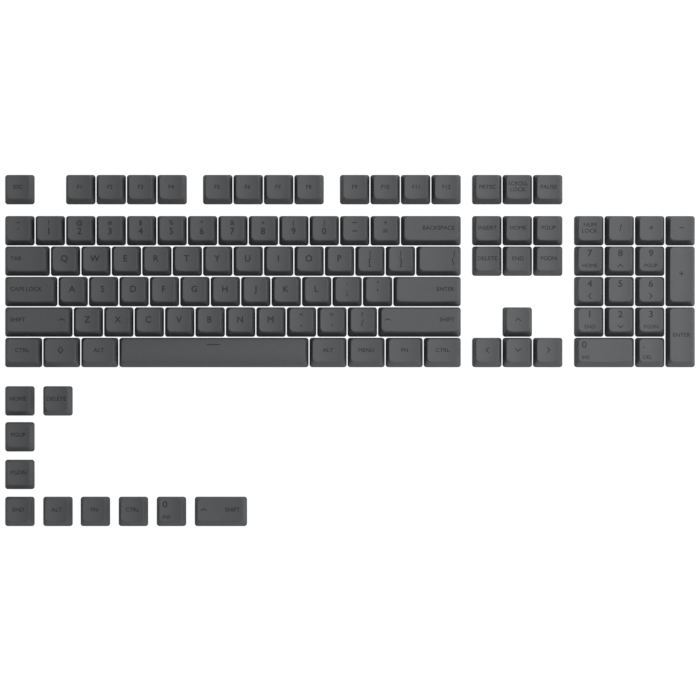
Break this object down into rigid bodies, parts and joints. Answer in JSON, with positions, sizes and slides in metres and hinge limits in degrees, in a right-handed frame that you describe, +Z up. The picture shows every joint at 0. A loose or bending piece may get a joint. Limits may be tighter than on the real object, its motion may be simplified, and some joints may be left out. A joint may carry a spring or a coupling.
{
  "type": "keycap set",
  "caption": "Full-size set of loose keycaps with sculpted rows, dished tops and cross sockets, laid out in keyboard order, with spare caps for compact layouts",
  "frame": {"origin": "under the middle of the set, on the surface that the rims stand on", "axes": "+X to the right along the rows, +Y from the spare caps towards the function row, +Z up"},
  "size_m": [0.4316, 0.2198, 0.0094],
  "materials": {
    "cap_plastic": "dark grey, fine matt grain, legends in a darker grey"
  },
  "bodies": {
    "cap_escape": {"cap_escape": "cap_plastic"},
    "cap_print_screen": {"cap_print_screen": "cap_plastic"},
    "cap_scroll_lock": {"cap_scroll_lock": "cap_plastic"},
    "cap_pause": {"cap_pause": "cap_plastic"},
    "cap_backspace": {"cap_backspace": "cap_plastic"},
    "cap_tab": {"cap_tab": "cap_plastic"},
    "cap_backslash": {"cap_backslash": "cap_plastic"},
    "cap_num_plus": {"cap_num_plus": "cap_plastic"},
    "cap_caps_lock": {"cap_caps_lock": "cap_plastic"},
    "cap_enter": {"cap_enter": "cap_plastic"},
    "cap_left_shift": {"cap_left_shift": "cap_plastic"},
    "cap_right_shift": {"cap_right_shift": "cap_plastic"},
    "cap_arrow_up": {"cap_arrow_up": "cap_plastic"},
    "cap_num_enter": {"cap_num_enter": "cap_plastic"},
    "cap_left_control": {"cap_left_control": "cap_plastic"},
    "cap_system": {"cap_system": "cap_plastic"},
    "cap_left_alt": {"cap_left_alt": "cap_plastic"},
    "cap_space": {"cap_space": "cap_plastic"},
    "cap_right_alt": {"cap_right_alt": "cap_plastic"},
    "cap_menu": {"cap_menu": "cap_plastic"},
    "cap_function": {"cap_function": "cap_plastic"},
    "cap_right_control": {"cap_right_control": "cap_plastic"},
    "cap_arrow_left": {"cap_arrow_left": "cap_plastic"},
    "cap_arrow_down": {"cap_arrow_down": "cap_plastic"},
    "cap_arrow_right": {"cap_arrow_right": "cap_plastic"},
    "cap_num_0": {"cap_num_0": "cap_plastic"},
    "cap_num_point": {"cap_num_point": "cap_plastic"},
    "spare_home": {"spare_home": "cap_plastic"},
    "spare_delete": {"spare_delete": "cap_plastic"},
    "spare_page_up": {"spare_page_up": "cap_plastic"},
    "spare_page_down": {"spare_page_down": "cap_plastic"},
    "spare_end": {"spare_end": "cap_plastic"},
    "spare_alt": {"spare_alt": "cap_plastic"},
    "spare_function": {"spare_function": "cap_plastic"},
    "spare_control": {"spare_control": "cap_plastic"},
    "spare_num_0": {"spare_num_0": "cap_plastic"},
    "spare_shift": {"spare_shift": "cap_plastic"},
    "caps_f1_to_f4": {"caps_f1_to_f4": "cap_plastic"},
    "caps_f5_to_f8": {"caps_f5_to_f8": "cap_plastic"},
    "caps_f9_to_f12": {"caps_f9_to_f12": "cap_plastic"},
    "caps_grave_to_3": {"caps_grave_to_3": "cap_plastic"},
    "caps_4_to_6": {"caps_4_to_6": "cap_plastic"},
    "caps_7_to_9": {"caps_7_to_9": "cap_plastic"},
    "caps_0_to_equals": {"caps_0_to_equals": "cap_plastic"},
    "caps_q_to_r": {"caps_q_to_r": "cap_plastic"},
    "caps_t_to_i": {"caps_t_to_i": "cap_plastic"},
    "caps_o_to_bracket": {"caps_o_to_bracket": "cap_plastic"},
    "caps_a_to_f": {"caps_a_to_f": "cap_plastic"},
    "caps_g_to_k": {"caps_g_to_k": "cap_plastic"},
    "caps_l_to_quote": {"caps_l_to_quote": "cap_plastic"},
    "caps_z_to_v": {"caps_z_to_v": "cap_plastic"},
    "caps_b_to_m": {"caps_b_to_m": "cap_plastic"},
    "caps_comma_to_slash": {"caps_comma_to_slash": "cap_plastic"},
    "caps_insert_to_page_up": {"caps_insert_to_page_up": "cap_plastic"},
    "caps_delete_to_page_down": {"caps_delete_to_page_down": "cap_plastic"},
    "caps_num_lock_to_minus": {"caps_num_lock_to_minus": "cap_plastic"},
    "caps_num_7_to_9": {"caps_num_7_to_9": "cap_plastic"},
    "caps_num_4_to_6": {"caps_num_4_to_6": "cap_plastic"},
    "caps_num_1_to_3": {"caps_num_1_to_3": "cap_plastic"}
  },
  "joints": [
    {"name": "lift_escape", "type": "slide", "parent": "cap_space", "child": "cap_escape", "axis": [0, 0, 1], "range_m": [0, 0.015]},
    {"name": "lift_print_screen", "type": "slide", "parent": "cap_space", "child": "cap_print_screen", "axis": [0, 0, 1], "range_m": [0, 0.015]},
    {"name": "lift_scroll_lock", "type": "slide", "parent": "cap_space", "child": "cap_scroll_lock", "axis": [0, 0, 1], "range_m": [0, 0.015]},
    {"name": "lift_pause", "type": "slide", "parent": "cap_space", "child": "cap_pause", "axis": [0, 0, 1], "range_m": [0, 0.015]},
    {"name": "lift_backspace", "type": "slide", "parent": "cap_space", "child": "cap_backspace", "axis": [0, 0, 1], "range_m": [0, 0.015]},
    {"name": "lift_tab", "type": "slide", "parent": "cap_space", "child": "cap_tab", "axis": [0, 0, 1], "range_m": [0, 0.015]},
    {"name": "lift_backslash", "type": "slide", "parent": "cap_space", "child": "cap_backslash", "axis": [0, 0, 1], "range_m": [0, 0.015]},
    {"name": "lift_num_plus", "type": "slide", "parent": "cap_space", "child": "cap_num_plus", "axis": [0, 0, 1], "range_m": [0, 0.015]},
    {"name": "lift_caps_lock", "type": "slide", "parent": "cap_space", "child": "cap_caps_lock", "axis": [0, 0, 1], "range_m": [0, 0.015]},
    {"name": "lift_enter", "type": "slide", "parent": "cap_space", "child": "cap_enter", "axis": [0, 0, 1], "range_m": [0, 0.015]},
    {"name": "lift_left_shift", "type": "slide", "parent": "cap_space", "child": "cap_left_shift", "axis": [0, 0, 1], "range_m": [0, 0.015]},
    {"name": "lift_right_shift", "type": "slide", "parent": "cap_space", "child": "cap_right_shift", "axis": [0, 0, 1], "range_m": [0, 0.015]},
    {"name": "lift_arrow_up", "type": "slide", "parent": "cap_space", "child": "cap_arrow_up", "axis": [0, 0, 1], "range_m": [0, 0.015]},
    {"name": "lift_num_enter", "type": "slide", "parent": "cap_space", "child": "cap_num_enter", "axis": [0, 0, 1], "range_m": [0, 0.015]},
    {"name": "lift_left_control", "type": "slide", "parent": "cap_space", "child": "cap_left_control", "axis": [0, 0, 1], "range_m": [0, 0.015]},
    {"name": "lift_system", "type": "slide", "parent": "cap_space", "child": "cap_system", "axis": [0, 0, 1], "range_m": [0, 0.015]},
    {"name": "lift_left_alt", "type": "slide", "parent": "cap_space", "child": "cap_left_alt", "axis": [0, 0, 1], "range_m": [0, 0.015]},
    {"name": "lift_right_alt", "type": "slide", "parent": "cap_space", "child": "cap_right_alt", "axis": [0, 0, 1], "range_m": [0, 0.015]},
    {"name": "lift_menu", "type": "slide", "parent": "cap_space", "child": "cap_menu", "axis": [0, 0, 1], "range_m": [0, 0.015]},
    {"name": "lift_function", "type": "slide", "parent": "cap_space", "child": "cap_function", "axis": [0, 0, 1], "range_m": [0, 0.015]},
    {"name": "lift_right_control", "type": "slide", "parent": "cap_space", "child": "cap_right_control", "axis": [0, 0, 1], "range_m": [0, 0.015]},
    {"name": "lift_arrow_left", "type": "slide", "parent": "cap_space", "child": "cap_arrow_left", "axis": [0, 0, 1], "range_m": [0, 0.015]},
    {"name": "lift_arrow_down", "type": "slide", "parent": "cap_space", "child": "cap_arrow_down", "axis": [0, 0, 1], "range_m": [0, 0.015]},
    {"name": "lift_arrow_right", "type": "slide", "parent": "cap_space", "child": "cap_arrow_right", "axis": [0, 0, 1], "range_m": [0, 0.015]},
    {"name": "lift_num_0", "type": "slide", "parent": "cap_space", "child": "cap_num_0", "axis": [0, 0, 1], "range_m": [0, 0.015]},
    {"name": "lift_num_point", "type": "slide", "parent": "cap_space", "child": "cap_num_point", "axis": [0, 0, 1], "range_m": [0, 0.015]},
    {"name": "lift_spare_home", "type": "slide", "parent": "cap_space", "child": "spare_home", "axis": [0, 0, 1], "range_m": [0, 0.015]},
    {"name": "lift_spare_delete", "type": "slide", "parent": "cap_space", "child": "spare_delete", "axis": [0, 0, 1], "range_m": [0, 0.015]},
    {"name": "lift_spare_page_up", "type": "slide", "parent": "cap_space", "child": "spare_page_up", "axis": [0, 0, 1], "range_m": [0, 0.015]},
    {"name": "lift_spare_page_down", "type": "slide", "parent": "cap_space", "child": "spare_page_down", "axis": [0, 0, 1], "range_m": [0, 0.015]},
    {"name": "lift_spare_end", "type": "slide", "parent": "cap_space", "child": "spare_end", "axis": [0, 0, 1], "range_m": [0, 0.015]},
    {"name": "lift_spare_alt", "type": "slide", "parent": "cap_space", "child": "spare_alt", "axis": [0, 0, 1], "range_m": [0, 0.015]},
    {"name": "lift_spare_function", "type": "slide", "parent": "cap_space", "child": "spare_function", "axis": [0, 0, 1], "range_m": [0, 0.015]},
    {"name": "lift_spare_control", "type": "slide", "parent": "cap_space", "child": "spare_control", "axis": [0, 0, 1], "range_m": [0, 0.015]},
    {"name": "lift_spare_num_0", "type": "slide", "parent": "cap_space", "child": "spare_num_0", "axis": [0, 0, 1], "range_m": [0, 0.015]},
    {"name": "lift_spare_shift", "type": "slide", "parent": "cap_space", "child": "spare_shift", "axis": [0, 0, 1], "range_m": [0, 0.015]},
    {"name": "lift_f1_to_f4", "type": "slide", "parent": "cap_space", "child": "caps_f1_to_f4", "axis": [0, 0, 1], "range_m": [0, 0.015]},
    {"name": "lift_f5_to_f8", "type": "slide", "parent": "cap_space", "child": "caps_f5_to_f8", "axis": [0, 0, 1], "range_m": [0, 0.015]},
    {"name": "lift_f9_to_f12", "type": "slide", "parent": "cap_space", "child": "caps_f9_to_f12", "axis": [0, 0, 1], "range_m": [0, 0.015]},
    {"name": "lift_grave_to_3", "type": "slide", "parent": "cap_space", "child": "caps_grave_to_3", "axis": [0, 0, 1], "range_m": [0, 0.015]},
    {"name": "lift_4_to_6", "type": "slide", "parent": "cap_space", "child": "caps_4_to_6", "axis": [0, 0, 1], "range_m": [0, 0.015]},
    {"name": "lift_7_to_9", "type": "slide", "parent": "cap_space", "child": "caps_7_to_9", "axis": [0, 0, 1], "range_m": [0, 0.015]},
    {"name": "lift_0_to_equals", "type": "slide", "parent": "cap_space", "child": "caps_0_to_equals", "axis": [0, 0, 1], "range_m": [0, 0.015]},
    {"name": "lift_q_to_r", "type": "slide", "parent": "cap_space", "child": "caps_q_to_r", "axis": [0, 0, 1], "range_m": [0, 0.015]},
    {"name": "lift_t_to_i", "type": "slide", "parent": "cap_space", "child": "caps_t_to_i", "axis": [0, 0, 1], "range_m": [0, 0.015]},
    {"name": "lift_o_to_bracket", "type": "slide", "parent": "cap_space", "child": "caps_o_to_bracket", "axis": [0, 0, 1], "range_m": [0, 0.015]},
    {"name": "lift_a_to_f", "type": "slide", "parent": "cap_space", "child": "caps_a_to_f", "axis": [0, 0, 1], "range_m": [0, 0.015]},
    {"name": "lift_g_to_k", "type": "slide", "parent": "cap_space", "child": "caps_g_to_k", "axis": [0, 0, 1], "range_m": [0, 0.015]},
    {"name": "lift_l_to_quote", "type": "slide", "parent": "cap_space", "child": "caps_l_to_quote", "axis": [0, 0, 1], "range_m": [0, 0.015]},
    {"name": "lift_z_to_v", "type": "slide", "parent": "cap_space", "child": "caps_z_to_v", "axis": [0, 0, 1], "range_m": [0, 0.015]},
    {"name": "lift_b_to_m", "type": "slide", "parent": "cap_space", "child": "caps_b_to_m", "axis": [0, 0, 1], "range_m": [0, 0.015]},
    {"name": "lift_comma_to_slash", "type": "slide", "parent": "cap_space", "child": "caps_comma_to_slash", "axis": [0, 0, 1], "range_m": [0, 0.015]},
    {"name": "lift_insert_to_page_up", "type": "slide", "parent": "cap_space", "child": "caps_insert_to_page_up", "axis": [0, 0, 1], "range_m": [0, 0.015]},
    {"name": "lift_delete_to_page_down", "type": "slide", "parent": "cap_space", "child": "caps_delete_to_page_down", "axis": [0, 0, 1], "range_m": [0, 0.015]},
    {"name": "lift_num_lock_to_minus", "type": "slide", "parent": "cap_space", "child": "caps_num_lock_to_minus", "axis": [0, 0, 1], "range_m": [0, 0.015]},
    {"name": "lift_num_7_to_9", "type": "slide", "parent": "cap_space", "child": "caps_num_7_to_9", "axis": [0, 0, 1], "range_m": [0, 0.015]},
    {"name": "lift_num_4_to_6", "type": "slide", "parent": "cap_space", "child": "caps_num_4_to_6", "axis": [0, 0, 1], "range_m": [0, 0.015]},
    {"name": "lift_num_1_to_3", "type": "slide", "parent": "cap_space", "child": "caps_num_1_to_3", "axis": [0, 0, 1], "range_m": [0, 0.015]}
  ]
}
